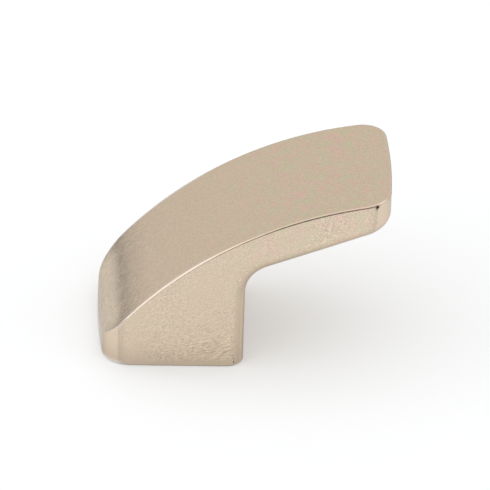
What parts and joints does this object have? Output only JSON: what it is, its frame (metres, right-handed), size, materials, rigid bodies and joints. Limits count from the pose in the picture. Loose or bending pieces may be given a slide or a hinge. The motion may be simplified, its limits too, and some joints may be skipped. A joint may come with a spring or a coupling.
{
  "type": "cabinet knob",
  "caption": "Finger-pull cabinet knob in satin champagne metal: a squat foot with a blind screw hole, and an arched arm that sweeps over it to a thin rounded tip.",
  "frame": {"origin": "mouth of the screw hole, at the middle of the foot's seat", "axes": "+Z away from the door along the screw hole, +X from the foot towards the arm's tip, Y across the knob, which is the same on both sides of Y = 0"},
  "size_m": [0.038, 0.022, 0.0248],
  "materials": {
    "satin_plate": "satin champagne nickel plate on a zinc casting"
  },
  "bodies": {
    "root": {"knob_body": "satin_plate"}
  },
  "joints": []
}
